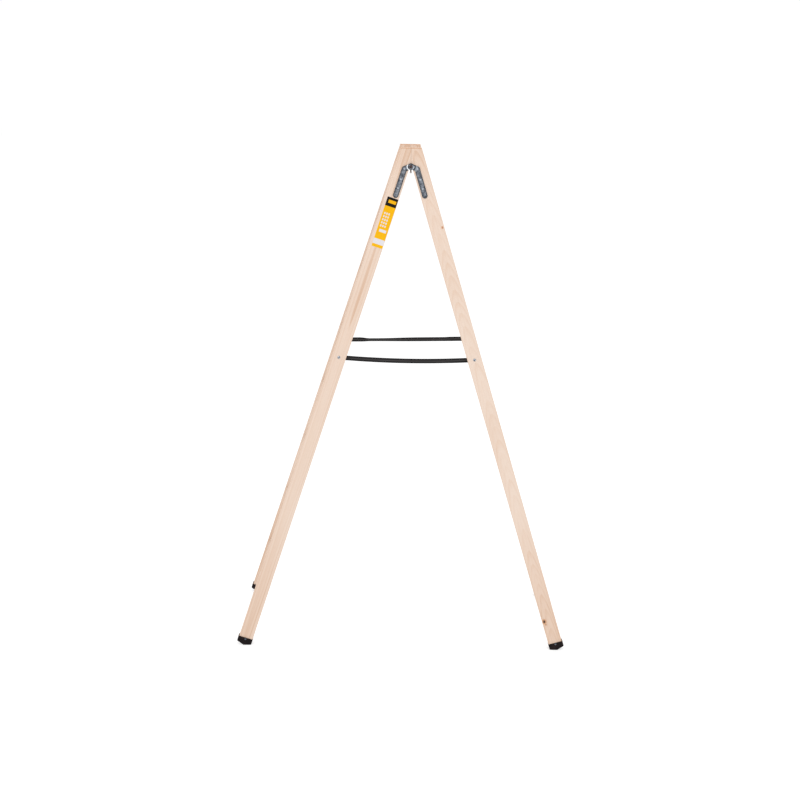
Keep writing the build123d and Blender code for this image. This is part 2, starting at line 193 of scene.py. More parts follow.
class Bench:
    """The node tree of one material."""

    def __init__(self, name: str) -> None:
        """Starts an empty material.

        Args:
            name: the material's name.
        """
        self.material = bpy.data.materials.new(name)
        self.material.use_nodes = True
        self.tree = self.material.node_tree
        self.tree.nodes.clear()

    def node(
        self, kind: str, settings: Values | None = None, inputs: Values | None = None, output: str | int = 0
    ) -> Wire:
        """Adds one node.

        Args:
            kind: the node's type.
            settings: its properties, and the stops of a colour ramp.
            inputs: values or wires for its sockets.
            output: the socket that the wire comes from.

        Returns:
            That output.
        """
        made = self.tree.nodes.new(kind)
        for name, value in (settings or {}).items():
            if name == "stops":
                self._set_stops(made.color_ramp, value)
            else:
                setattr(made, name, value)
        for key, value in (inputs or {}).items():
            if isinstance(value, Wire):
                self.tree.links.new(value.socket, made.inputs[key])
            else:
                made.inputs[key].default_value = value
        return Wire(self, made, output)

    @staticmethod
    def _set_stops(ramp: ColorRamp, stops: list[tuple[float, Colour]]) -> None:
        """Gives a colour ramp its stops.

        Args:
            ramp: the ramp, with fewer stops so far.
            stops: places from 0 to 1, and their colours.
        """
        while len(ramp.elements) < len(stops):
            ramp.elements.new(1.0)
        for element, (position, colour) in zip(ramp.elements, stops):
            element.position = position
            element.color = (*colour, 1.0)

    def maths(self, operation: str, *values: Wire | float) -> Wire:
        """One Math node fed with the values in order."""
        return self.node("ShaderNodeMath", {"operation": operation}, dict(enumerate(values)))

    def combine(self, x: Wire | float, y: Wire | float, z: Wire | float) -> Wire:
        """A vector from three values."""
        return self.node("ShaderNodeCombineXYZ", {}, {"X": x, "Y": y, "Z": z})

    def separate(self, vector: Wire) -> tuple[Wire, Wire, Wire]:
        """The three values of a vector."""
        x = self.node("ShaderNodeSeparateXYZ", {}, {"Vector": vector})
        return x, x.other("Y"), x.other("Z")

    def place(self, axes: Matrix) -> Wire:
        """Coordinates on the piece in metres.

        Args:
            axes: the frame that they lie in.

        Returns:
            The coordinates as one vector.
        """
        coordinates = self.node("ShaderNodeTexCoord", output="Object")
        inputs = {"Vector": coordinates, "Location": axes.to_translation(), "Rotation": axes.to_euler()}
        return self.node("ShaderNodeMapping", {"vector_type": "TEXTURE"}, inputs)

    def scaled(self, vector: Wire, factors: Triple) -> Wire:
        """A vector stretched along each axis."""
        return self.node("ShaderNodeVectorMath", {"operation": "MULTIPLY"}, {0: vector, 1: factors})

    def noise(self, vector: Wire, texture: Texture) -> Wire:
        """Cloudy noise.

        Args:
            vector: coordinates in metres.
            texture: the noise.

        Returns:
            Values between 0 and 1, with three unlike ones as the other output Color.
        """
        inputs: Values = {"Vector": self.scaled(vector, texture.waves), "Scale": 1.0}
        inputs |= {"Detail": texture.detail, "Roughness": texture.roughness}
        return self.node("ShaderNodeTexNoise", {}, inputs)

    def peaks(self, vector: Wire, texture: Texture) -> Wire:
        """The peaks of a noise between its limits, by its weight."""
        return self.noise(vector, texture).ramp(*texture.limits) * texture.weight

    def sway(self, vector: Wire, texture: Texture) -> Wire:
        """A noise to both sides of its mean, by its weight."""
        return (self.noise(vector, texture) - texture.mean) * texture.weight

    def mix(self, factor: Wire | float, first: Wire | Colour, second: Wire | Colour) -> Wire:
        """Colour between two others.

        Args:
            factor: 0 for the first, 1 for the second.
            first: colour or wire.
            second: colour or wire.

        Returns:
            The mixed colour.
        """
        inputs: Values = {0: factor}
        for index, colour in ((6, first), (7, second)):
            inputs[index] = colour if isinstance(colour, Wire) else (*colour, 1.0)
        return self.node("ShaderNodeMix", {"data_type": "RGBA"}, inputs, 2)

    def bump(self, height: Wire, depth: float, strength: float) -> Wire:
        """A normal from a height between 0 and 1 that stands for this depth in metres."""
        inputs = {"Height": height, "Distance": depth, "Strength": strength}
        return self.node("ShaderNodeBump", {}, inputs)

    def finish(self, **inputs: object) -> Material:
        """Ends the tree in one surface shader.

        Args:
            inputs: the shader's sockets, spaces written as underscores.

        Returns:
            The material.
        """
        named = {name.replace("_", " "): value for name, value in inputs.items()}
        for name, value in named.items():
            if isinstance(value, tuple) and len(value) == 3:
                named[name] = (*value, 1.0)
        shader = self.node("ShaderNodeBsdfPrincipled", {}, named)
        self.node("ShaderNodeOutputMaterial", {}, {"Surface": shader})
        return self.material


@dataclass(frozen=True)
class Knot:
    """A branch that grew through a board, in the board's own frame."""

    across: float
    along: float
    radius: float
    heart: Colour = (0.055, 0.026, 0.014)
    heart_span: Pair = (0.55, 1.05)  # from full colour to none, in radii
    ring: Colour = (0.520, 0.270, 0.140)
    ring_span: Pair = (1.0, 2.2)
    slimness: float = 0.62  # below 1 it is longer along the grain
    parting: float = 0.75  # how far the grain steps aside
    parting_reach: float = 2.6  # in radii
    parting_slimness: float = 0.16


@dataclass(frozen=True)
class Cut:
    """The place in its log that a board was sawn from, and how warm its wood is."""

    pith: Pair  # the log's heart from the board's middle line
    slant: Pair  # of the heart against the board, per metre
    tone: float  # 0 is the usual colour, 1 a much warmer one
    foot_warmth: float = 0.0  # added tone at the foot
    wander: float = 0.020  # how far the rings stray from true circles
    ring_width: float = 0.0031
    figure: float = 1.0  # how strongly the rings show


@dataclass(frozen=True)
class Board:
    """One length of timber."""

    name: str
    axes: Matrix  # across the width, through the thickness, along the grain
    half_width: float
    half_thickness: float
    cut: Cut
    level_top: float | None = None  # height of a level cut across the grain
    knots: tuple[Knot, ...] = ()


@dataclass(frozen=True)
class PineFinish:
    """Planed, unpainted softwood, with rings worked out round the log's heart."""

    even_shade: float = 0.34  # mean of the rings' pattern
    pale: Colour = (0.700, 0.570, 0.480)
    honey: Colour = (0.652, 0.490, 0.386)
    amber: Colour = (0.540, 0.340, 0.220)
    arris: Colour = (0.560, 0.365, 0.245)
    end_grain: Colour = (0.640, 0.385, 0.235)
    end_arris: Colour = (0.520, 0.270, 0.140)
    arris_width: float = 0.0032
    edge_band: Pair = (0.0050, 0.0010)  # below a level cut, where its edge darkens
    sawn_skin: Pair = (0.0004, 0.0001)  # below a level cut, still end grain
    ground: float = 0.06  # taken off the tone, to keep the mean colour
    roughness: float = 0.52
    fibre_roughness: float = 0.16
    ring_smoothness: float = 0.08
    specular: float = 0.35
    relief: Pair = (0.00016, 0.6)  # depth and strength
    ring_relief: float = 0.6  # share of it, the rest is the fibre's
    ring_weight: float = 0.48
    arris_weight: float = 0.55
    edge_weight: float = 0.75
    sawn_weight: float = 0.92
    autumn: Pair = (0.30, 0.90)  # share of a year in which its ring darkens
    winter: Pair = (0.92, 1.0)  # in which it turns pale again
    faintest: float = 0.35  # year's ring, set against the strongest
    foot_reach: float = 0.70
    top_reach: float = 0.16
    top_warmth: float = 0.28
    stray: Texture = Texture((5.0, 5.0, 1.1))  # of the rings from true circles
    band: Texture = Texture((62.0, 0.7, 1.0), weight=0.52, limits=(0.25, 0.80))  # years alike
    fibre: Texture = Texture((620.0, 620.0, 11.0), 3.0, 0.6, 0.34)
    cloud: Texture = Texture((8.0, 8.0, 2.2), 3.0, weight=0.35)
    streak: Texture = Texture((230.0, 230.0, 1.7), weight=0.45)
    fleck: Texture = Texture((900.0, 900.0, 42.0), 1.0, weight=0.35, limits=(0.70, 0.80))
    wobble: Texture = Texture((260.0, 260.0, 1.0), weight=0.9)  # of a knot's outline

    def material(self, board: Board) -> Material:
        """Wood of one board.

        Args:
            board: its place, its cut and its knots.

        Returns:
            The material.
        """
        bench = Bench(f"pine_{board.name}")
        cut = board.cut
        spot = bench.place(board.axes)
        across, through, along = bench.separate(spot)
        grain_across, knot_masks = self._grain_round_knots(board.knots, across, along)
        stray_x, stray_y, _ = bench.separate(bench.noise(spot, self.stray).other("Color"))
        mean = self.stray.mean
        from_x = grain_across + along * cut.slant[0] + (stray_x - mean) * cut.wander - cut.pith[0]
        from_y = through + along * cut.slant[1] + (stray_y - mean) * cut.wander - cut.pith[1]
        radius = (from_x * from_x + from_y * from_y).maths("SQRT")
        strength = self._latewood(radius / cut.ring_width)
        band = bench.peaks(bench.combine(radius, along, 0.0), self.band)
        fibre = bench.noise(spot, self.fibre)
        fuzz = fibre - self.fibre.mean
        pattern = band + strength * self.ring_weight - self.even_shade
        shade = self.even_shade + pattern * cut.figure + fuzz * self.fibre.weight
        shade = shade + bench.sway(spot, self.streak) + bench.sway(spot, self.cloud) + cut.tone - self.ground
        level = bench.separate(bench.place(Matrix()))[2]
        if board.level_top is not None:
            foot = 1.0 - along.ramp(0.0, self.foot_reach)
            top = level.ramp(board.level_top - self.top_reach, board.level_top)
            shade = shade + foot * cut.foot_warmth + top * self.top_warmth
        stops = [(0.0, self.pale), (0.5, self.honey), (1.0, self.amber)]
        colour = bench.node("ShaderNodeValToRGB", {"stops": stops}, {"Fac": shade})
        rounded = abs(across).ramp(board.half_width - self.arris_width, board.half_width)
        rounded = rounded * abs(through).ramp(board.half_thickness - self.arris_width, board.half_thickness)
        colour = bench.mix(rounded * self.arris_weight, colour, self.arris)
        if board.level_top is not None:
            edge, sawn = (
                level.ramp(board.level_top - start, board.level_top - end)
                for start, end in (self.edge_band, self.sawn_skin)
            )
            colour = bench.mix(edge * self.edge_weight, colour, self.end_arris)
            sawn_wood = bench.mix(strength, self.end_grain, self.end_arris)
            colour = bench.mix(sawn * self.sawn_weight, colour, sawn_wood)
        for mask, heart in knot_masks:
            colour = bench.mix(mask, colour, heart)
        colour = bench.mix(bench.peaks(spot, self.fleck), colour, self.amber)
        height = strength * self.ring_relief + fibre * (1.0 - self.ring_relief)
        return bench.finish(
            Base_Color=colour,
            Roughness=self.roughness + fuzz * self.fibre_roughness - strength * self.ring_smoothness,
            Specular_IOR_Level=self.specular,
            Normal=bench.bump(height, *self.relief),
        )

    def _latewood(self, ring: Wire) -> Wire:
        """How dark the rings are.

        Args:
            ring: years from the log's heart.

        Returns:
            0 in spring wood, and up to 1 in the autumn wood of a year that shows strongly.
        """
        year = ring.maths("FRACT")
        autumn = year.ramp(*self.autumn) * (1.0 - year.ramp(*self.winter))
        whole = {"W": ring.maths("FLOOR")}
        season = ring.bench.node("ShaderNodeTexWhiteNoise", {"noise_dimensions": "1D"}, whole)
        return autumn * (self.faintest + season * (1.0 - self.faintest))

    def _grain_round_knots(
        self, knots: tuple[Knot, ...], across: Wire, along: Wire
    ) -> tuple[Wire, list[tuple[Wire, Colour]]]:
        """Parts the grain at each knot.

        Args:
            knots: the board's knots.
            across: coordinate across the board.
            along: coordinate along the board.

        Returns:
            The coordinate that the grain follows, and each knot's mask with its colour.
        """
        grain = across
        masks = []
        bench = across.bench
        for knot in knots:
            aside = across - knot.across
            ahead = along - knot.along
            flow = aside * aside + ahead * ahead * knot.parting_slimness
            swell = (flow * (-0.5 / (knot.parting_reach * knot.radius) ** 2)).maths("EXPONENT")
            grain = grain - aside * swell * knot.parting
            distance = (aside * aside + ahead * ahead * knot.slimness).maths("SQRT") / knot.radius
            distance = distance + bench.sway(bench.combine(aside, ahead, 0.0), self.wobble)
            for span, colour in ((knot.ring_span, knot.ring), (knot.heart_span, knot.heart)):
                masks.append((1.0 - distance.ramp(*span), colour))
        return grain, masks


@dataclass(frozen=True)
class Band:
    """Ring round the pivot painted lighter or darker than the rest of the leaf, as painted highlight or
    painted shade.
    """

    inner: float
    outer: float
    colour: Colour
    strength: float = 1.0
    towards: Pair | None = None  # middle of an arc, as a unit vector in X and Z


@dataclass(frozen=True)
class Groove:
    """Screwdriver groove across two heads that face each way along a frame's Y axis, painted dark inside as
    shade.
    """

    middle: Pair  # in the frame's X and Z
    turn: float  # degrees, from X towards Z
    half_width: float
    floor: float  # its bottom, along Y from the frame's middle
    # painted shade inside the groove
    dirt: Colour = (0.012, 0.012, 0.016)
    soft: float = 0.0002  # edge of the painted shade

    def aside(self) -> Vector:
        """Direction across the groove."""
        turn = math.radians(self.turn)
        return Vector((-math.sin(turn), 0.0, math.cos(turn)))

    def sink(self, mesh: BMesh) -> None:
        """Cuts the groove into a mesh.

        Args:
            mesh: the heads, lying in the frame.
        """
        aside = self.aside()
        middle = Vector((self.middle[0], 0.0, self.middle[1]))
        along = Vector((0.0, 1.0, 0.0))
        planes = [(middle + aside * reach, aside) for reach in (-self.half_width, self.half_width)]
        planes += [(along * reach, along) for reach in (-self.floor, self.floor)]
        for point, normal in planes:
            geometry = [*mesh.verts, *mesh.edges, *mesh.faces]
            bmesh.ops.bisect_plane(mesh, geom=geometry, plane_co=point, plane_no=normal, dist=TOUCH)
        strip = []
        for face in mesh.faces:
            centre = face.calc_center_median()
            if abs(centre.y) > self.floor and abs((centre - middle).dot(aside)) < self.half_width:
                strip.append(face)
        sunk = bmesh.ops.extrude_face_region(mesh, geom=strip)
        bmesh.ops.delete(mesh, geom=strip, context="FACES")
        for item in sunk["geom"]:
            if isinstance(item, BMVert):
                item.co.y = math.copysign(self.floor, item.co.y)
        bmesh.ops.remove_doubles(mesh, verts=mesh.verts, dist=MERGE)
        level = [f for f in mesh.faces if all(abs(abs(v.co.y) - self.floor) < TOUCH for v in f.verts)]
        seams = {edge for face in level for edge in face.edges}
        corners = {vert for face in level for vert in face.verts}
        bmesh.ops.dissolve_limit(mesh, angle_limit=FLAT, verts=list(corners), edges=list(seams))

    def filled(self, x: Wire, y: Wire, z: Wire) -> Wire:
        """Where the groove's painted shade lies.

        Args:
            x: the frame's first coordinate.
            y: its second coordinate.
            z: its third coordinate.

        Returns:
            1 in the groove and 0 elsewhere.
        """
        aside = self.aside()
        across = (x - self.middle[0]) * aside.x + (z - self.middle[1]) * aside.z
        between = 1.0 - abs(across).ramp(self.half_width, self.half_width + self.soft)
        return between * abs(y).ramp(self.floor - 2.0 * self.soft, self.floor - self.soft)


@dataclass(frozen=True)
class SteelFinish:
    """Steel, mottled where its plating has dulled or rusted, with painted shade along the edges of a strip.
    """

    name: str
    dull: Colour
    bright: Colour
    # painted shade for the edges of a strip
    rim: Colour
    roughness: float
    mottle_scale: float
    wear: float = 0.35
    metallic: float = 0.92
    inner_blur: Pair = (0.0005, 0.0003)  # of a light ring's edge, inward and outward
    outer_blur: Pair = (0.0008, 0.0004)
    arc_blur: Pair = (0.70, 0.92)  # cosines from the middle of an arc
    mottle: Texture = Texture((1.0, 1.0, 1.0), 4.0, 0.6, 0.70, (0.36, 0.66))  # waves per mottle
    dents: Texture = Texture((3.0, 3.0, 3.0), 3.0)  # waves per mottle
    scratch: Texture = Texture((900.0, 900.0, 70.0), limits=(0.62, 0.80))
    spangle_scale: float = 2.2
    spangle_weight: float = 0.24
    rim_span: Pair = (0.52, 0.92)  # of a strip's half width, in which painted shade darkens its edge
    rim_weight: float = 0.85
    dull_roughness: float = 0.14
    relief: Pair = (0.0004, 0.35)  # depth and strength

    def material(
        self,
        key: str,
        axes: Matrix,
        spine: tuple[Pair, ...] = (),
        half_width: float = 0.0,
        bands: tuple[Band, ...] = (),
        groove: Groove | None = None,
    ) -> Material:
        """Steel of one piece.

        Args:
            key: added to the material's name.
            axes: frame in which the pattern and the spine lie.
            spine: middle line of a flat strip whose edges get painted shade, in that frame's X and Z.
            half_width: from the spine to the strip's edge.
            bands: rings of painted highlight or painted shade round the frame's Y axis, such as the
                highlight beside the other leaf's eye.
            groove: screwdriver groove that is painted dark inside as shade.

        Returns:
            The material.
        """
        bench = Bench(f"{self.name}_{key}")
        spot = bench.place(axes)
        x, y, z = bench.separate(spot)
        mottled = bench.scaled(spot, (self.mottle_scale,) * 3)
        cells = {"Vector": mottled, "Scale": self.spangle_scale}
        spangle = bench.node("ShaderNodeTexVoronoi", {"feature": "F1"}, cells)
        cell, _, _ = bench.separate(spangle.other("Color"))
        lightness = bench.peaks(mottled, self.mottle) + cell * self.spangle_weight
        lightness = lightness + bench.peaks(spot, self.scratch) * self.wear
        colour = bench.mix(lightness, self.dull, self.bright)
        # painted shade along the edges of the strip
        if spine:
            edge = (self._distance_to_spine(x, z, spine) / half_width).ramp(*self.rim_span)
            colour = bench.mix(edge * self.rim_weight, colour, self.rim)
        # painted highlights and painted shade in rings round the pivot
        for band in bands:
            radius = (x * x + z * z).maths("SQRT")
            ring = radius.ramp(band.inner - self.inner_blur[0], band.inner + self.inner_blur[1])
            beyond = radius.ramp(band.outer - self.outer_blur[0], band.outer + self.outer_blur[1])
            ring = ring * (1.0 - beyond)
            if band.towards is not None:
                ahead = (x * band.towards[0] + z * band.towards[1]) / radius
                ring = ring * ahead.ramp(*self.arc_blur)
            colour = bench.mix(ring * band.strength, colour, band.colour)
        if groove is not None:
            # painted shade inside the groove
            colour = bench.mix(groove.filled(x, y, z), colour, groove.dirt)
        return bench.finish(
            Base_Color=colour,
            Metallic=self.metallic,
            Roughness=self.roughness + (1.0 - lightness) * self.dull_roughness,
            Normal=bench.bump(bench.noise(mottled, self.dents), *self.relief),
        )

    @staticmethod
    def _distance_to_spine(x: Wire, z: Wire, spine: tuple[Pair, ...]) -> Wire:
        """Distance from a line of straight runs.

        Args:
            x: first coordinate.
            z: second coordinate.
            spine: the line's corners in those coordinates.

        Returns:
            The distance in metres.
        """
        nearest: Wire | None = None
        for (start_x, start_z), (end_x, end_z) in zip(spine, spine[1:]):
            run_x, run_z = end_x - start_x, end_z - start_z
            length = math.hypot(run_x, run_z)
            ahead = (x - start_x) * (run_x / length) + (z - start_z) * (run_z / length)
            held = ahead.maths("MAXIMUM", 0.0).maths("MINIMUM", length)
            past_x = x - start_x - held * (run_x / length)
            past_z = z - start_z - held * (run_z / length)
            gap = (past_x * past_x + past_z * past_z).maths("SQRT")
            nearest = gap if nearest is None else nearest.maths("MINIMUM", gap)
        return nearest


@dataclass(frozen=True)
class RubberFinish:
    """Black moulded rubber with a fine grain, dusty where it is handled."""

    black: Colour = (0.0034, 0.0016, 0.0019)
    dusty: Colour = (0.0170, 0.0092, 0.0102)
    dust: Texture = Texture((60.0, 60.0, 60.0), 4.0, 0.6, limits=(0.40, 0.75))
    dust_weight: float = 0.8
    grain: Texture = Texture((2600.0, 2600.0, 2600.0), weight=0.15)
    roughness: float = 0.52
    dust_roughness: float = 0.2
    specular: float = 0.13
    relief: Pair = (0.00012, 0.5)  # depth and strength

    def material(self) -> Material:
        """Rubber for all the caps.

        Returns:
            The material.
        """
        bench = Bench("black_rubber")
        spot = bench.place(Matrix())
        grain = bench.noise(spot, self.grain)
        dust = bench.peaks(spot, self.dust)
        shade = dust * self.dust_weight + grain * self.grain.weight
        return bench.finish(
            Base_Color=bench.mix(shade, self.black, self.dusty),
            Roughness=self.roughness + dust * self.dust_roughness,
            Specular_IOR_Level=self.specular,
            Normal=bench.bump(grain, *self.relief),
        )


@dataclass(frozen=True)
class WebbingFinish:
    """Woven black polypropylene, lighter along a line down its middle and darker towards its edges."""

    half_width: float
    yarn: float = 0.0016  # pitch of the weave
    black: Colour = (0.0040, 0.0034, 0.0036)
    shine: Colour = (0.0180, 0.0160, 0.0170)
    line: Colour = (0.0750, 0.0690, 0.0700)
    line_span: Pair = (0.0008, 0.0030)  # from the middle line, from full colour to none
    selvedge: Pair = (0.0030, 0.0015)  # from the edge, from none of it to all
    selvedge_weight: float = 0.7
    rib_slope: float = 0.9  # of the ribs across the band
    warp_pitch: float = 1.7  # waves of the warp to one of the ribs
    weave_weight: float = 0.55
    fuzz: Texture = Texture((300.0, 2400.0, 1.0), 3.0, 0.6, 0.35, (0.45, 0.8))
    streak: Texture = Texture((6.0, 900.0, 1.0), weight=0.8, limits=(0.30, 0.62))
    roughness: float = 0.62
    fuzz_roughness: float = 0.2
    sheen: Pair = (0.04, 0.5)  # weight and roughness
    specular: float = 0.18
    relief: Pair = (0.00025, 0.7)  # depth and strength

    def material(self) -> Material:
        """Webbing on a map of metres along and across the band.

        Returns:
            The material.
        """
        bench = Bench("black_webbing")
        spot = bench.node("ShaderNodeUVMap", {"uv_map": "weave"})
        along, across, _ = bench.separate(spot)
        turn = 2.0 * math.pi / self.yarn
        rib = (abs(across) * turn * self.rib_slope + along * turn).maths("SINE")
        warp = (across * turn * self.warp_pitch).maths("SINE")
        weave = (rib * warp) * 0.5 + 0.5
        shade = weave * self.weave_weight + bench.peaks(spot, self.fuzz)
        colour = bench.mix(shade, self.black, self.shine)
        middle = 1.0 - abs(across).ramp(*self.line_span)
        colour = bench.mix(middle * bench.peaks(spot, self.streak), colour, self.line)
        start, end = (self.half_width - inward for inward in self.selvedge)
        colour = bench.mix(abs(across).ramp(start, end) * self.selvedge_weight, colour, self.black)
        sheen_weight, sheen_roughness = self.sheen
        fuzz = bench.noise(spot, self.fuzz) - self.fuzz.mean
        return bench.finish(
            Base_Color=colour,
            Roughness=self.roughness + fuzz * self.fuzz_roughness,
            Sheen_Weight=sheen_weight,
            Sheen_Roughness=sheen_roughness,
            Specular_IOR_Level=self.specular,
            Normal=bench.bump(weave, *self.relief),
        )


@dataclass(frozen=True)
class StickerFinish:
    """Plain printed film in fields of colour, with nothing written on it."""

    black: Colour = (0.0060, 0.0048, 0.0030)
    yellow: Colour = (0.760, 0.385, 0.0015)
    gold: Colour = (0.790, 0.445, 0.0030)
    white: Colour = (0.640, 0.620, 0.650)
    header: float = 0.175  # share of the length
    stripe: Field = (0.050, 0.112, 0.10, 0.80)
    block: Field = (0.290, 0.605, 0.28, 0.88)
    cells: tuple[int, int] = (3, 5)  # plain patches across and down the block
    cell_margin: float = 0.20  # share of a cell left bare at each side
    bar: Field = (0.640, 0.695, 0.14, 0.78)
    panel: Field = (0.835, 0.940, -0.10, 1.10)
    blur: float = 0.003  # of a field's edges
    header_blur: float = 0.004
    cell_blur: float = 0.04
    cloud: Texture = Texture((90.0, 90.0, 90.0), 3.0, weight=0.6, limits=(0.3, 0.7))
    scuff: Texture = Texture((700.0, 1.0, 160.0), 3.0, 0.7, 0.12, (0.70, 0.82))
    roughness: float = 0.38
    scuff_roughness: float = 0.16
    specular: float = 0.12
    relief: Pair = (0.00010, 0.3)  # depth and strength

    def material(self, axes: Matrix, low: Vector, high: Vector) -> Material:
        """Film printed over one stretch of a board.

        Args:
            axes: the board's frame.
            low: the film's lowest corner in that frame.
            high: its highest corner in that frame.

        Returns:
            The material.
        """
        bench = Bench("sticker_film")
        spot = bench.place(axes)
        across, _, along = bench.separate(spot)
        share_across = (across - low.x) * (1.0 / (high.x - low.x))
        share_down = (high.z - along) * (1.0 / (high.z - low.z))
        colour = bench.mix(bench.peaks(spot, self.cloud), self.yellow, self.gold)
        below = share_down.ramp(self.header - self.header_blur, self.header + self.header_blur)
        colour = bench.mix(1.0 - below, colour, self.black)
        for fill, cells, (start, end, near, far) in (
            (self.yellow, (1, 1), self.stripe),
            (self.white, self.cells, self.block),
            (self.white, (1, 1), self.bar),
            (self.white, (1, 1), self.panel),
        ):
            patch = self._field(share_down, start, end, self.blur)
            patch = patch * self._field(share_across, near, far, self.blur)
            for share, low_share, high_share, count in (
                (share_across, near, far, cells[0]),
                (share_down, start, end, cells[1]),
            ):
                if count > 1:
                    within = ((share - low_share) * (count / (high_share - low_share))).maths("FRACT")
                    bare = self.cell_margin
                    patch = patch * self._field(within, bare, 1.0 - bare, self.cell_blur)
            colour = bench.mix(patch, colour, fill)
        colour = bench.mix(bench.peaks(spot, self.scuff), colour, self.white)
        return bench.finish(
            Base_Color=colour,
            Roughness=self.roughness + bench.noise(spot, self.scuff) * self.scuff_roughness,
            Specular_IOR_Level=self.specular,
            Normal=bench.bump(bench.noise(spot, self.cloud), *self.relief),
        )

    @staticmethod
    def _field(share: Wire, start: float, end: float, blur: float) -> Wire:
        """1 between two shares and 0 outside them, with blurred edges."""
        return share.ramp(start - blur, start + blur) * (1.0 - share.ramp(end - blur, end + blur))


@dataclass(frozen=True)
class FloorFinish:
    """Matt white studio floor, lit a little from below so that shadows stay faint."""

    white: Colour = (0.52, 0.52, 0.52)
    glow: Colour = (1.0, 1.0, 1.0)
    glow_strength: float = 0.57
    cloud: Texture = Texture((1.5, 1.5, 1.5), 3.0)
    darkest: float = 0.992  # of the white
    roughness: float = 0.9

    def material(self) -> Material:
        """Floor paint with a very faint unevenness.

        Returns:
            The material.
        """
        bench = Bench("studio_floor")
        cloud = bench.noise(bench.place(Matrix()), self.cloud)
        near = tuple(channel * self.darkest for channel in self.white)
        return bench.finish(
            Base_Color=bench.mix(cloud, near, self.white),
            Roughness=self.roughness,
            Specular_IOR_Level=0.0,
            Emission_Color=self.glow,
            Emission_Strength=self.glow_strength,
        )


def node_corners(node: str, axes: Matrix) -> tuple[Vector, Vector]:
    """Lowest and highest corner of a CAD node in a frame of its own.

    Args:
        node: the node's name.
        axes: that frame.

    Returns:
        The two corners.
    """
    turned = axes.inverted()
    spots = [turned @ vertex.co for vertex in frame["nodes"][node].data.vertices]
    low = Vector([min(spot[axis] for spot in spots) for axis in range(3)])
    high = Vector([max(spot[axis] for spot in spots) for axis in range(3)])
    return low, high


def dress(node: str, material: Material) -> None:
    """Gives a CAD node a finish in place of its plain colour.

    Args:
        node: the node's name.
        material: the finish.
    """
    slots = frame["nodes"][node].data.materials
    slots.clear()
    slots.append(material)
    LOG.info("%s keeps its CAD shape, in %s", node, material.name)


def add_object(name: str, data: ID) -> Object:
    """Puts an object at the origin of the scene.

    Args:
        name: the object's name.
        data: its mesh, lamp or camera.

    Returns:
        The object.
    """
    made = bpy.data.objects.new(name, data)
    bpy.context.scene.collection.objects.link(made)
    return made


def add_piece(name: str, mesh: BMesh, material: Material, body: str, slot: str, node: str) -> Object:
    """Turns a finished bmesh into a piece that stands for a CAD node.

    Args:
        name: the piece's name.
        mesh: its shape, which is freed.
        material: its finish.
        body: the body that it rides on.
        slot: the record's material slot; not used.
        node: the CAD node that it replaces.

    Returns:
        The new object.
    """
    data = bpy.data.meshes.new(name)
    for face in mesh.faces:
        face.smooth = True
    mesh.to_mesh(data)
    mesh.free()
    data.set_sharp_from_angle(angle=SHARP)
    data.materials.append(material)
    piece = add_object(name, data)
    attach(piece, body)
    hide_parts(node)
    LOG.info("%s replaces %s, %d faces", name, node, len(data.polygons))
    return piece


def hard_edges(mesh: BMesh, angle: float) -> list[BMEdge]:
    """Edges at which the faces turn by more than an angle."""
    return [edge for edge in mesh.edges if edge.is_manifold and edge.calc_face_angle(0.0) > angle]


def round_edges(mesh: BMesh, edges: list[BMEdge], radius: float, segments: int) -> None:
    """Rounds edges in place.

    Args:
        mesh: the mesh, whose normals are then set anew.
        edges: its edges that are rounded.
        radius: of the rounding.
        segments: faces across the rounding.
    """
    bmesh.ops.bevel(
        mesh, geom=edges, offset=radius, offset_type="OFFSET", affect="EDGES",
        segments=segments, profile=0.5, material=-1, clamp_overlap=True,
    )
    mesh.normal_update()


def eased_copy(node: str, radius: float, segments: int = 2) -> BMesh:
    """Copy of a CAD node's mesh with its hard edges rounded.

    Args:
        node: the node's name.
        radius: of the rounding.
        segments: faces across the rounding.

    Returns:
        The copy, merged and rounded.
    """
    mesh = bmesh.new()
    mesh.from_mesh(frame["nodes"][node].data)
    bmesh.ops.remove_doubles(mesh, verts=mesh.verts, dist=MERGE)
    bmesh.ops.dissolve_limit(mesh, angle_limit=FLAT, verts=mesh.verts, edges=mesh.edges, delimit=set())
    round_edges(mesh, hard_edges(mesh, HARD), radius, segments)
    return mesh


def add_eased(
    node: str, ending: str, radius: float, material: Material, body: str, slot: str, segments: int = 2
) -> Object:
    """Adds a piece that is its CAD node with rounded edges, named after the node and an ending."""
    mesh = eased_copy(node, radius, segments)
    return add_piece(f"{node}_{ending}", mesh, material, body, slot, node)


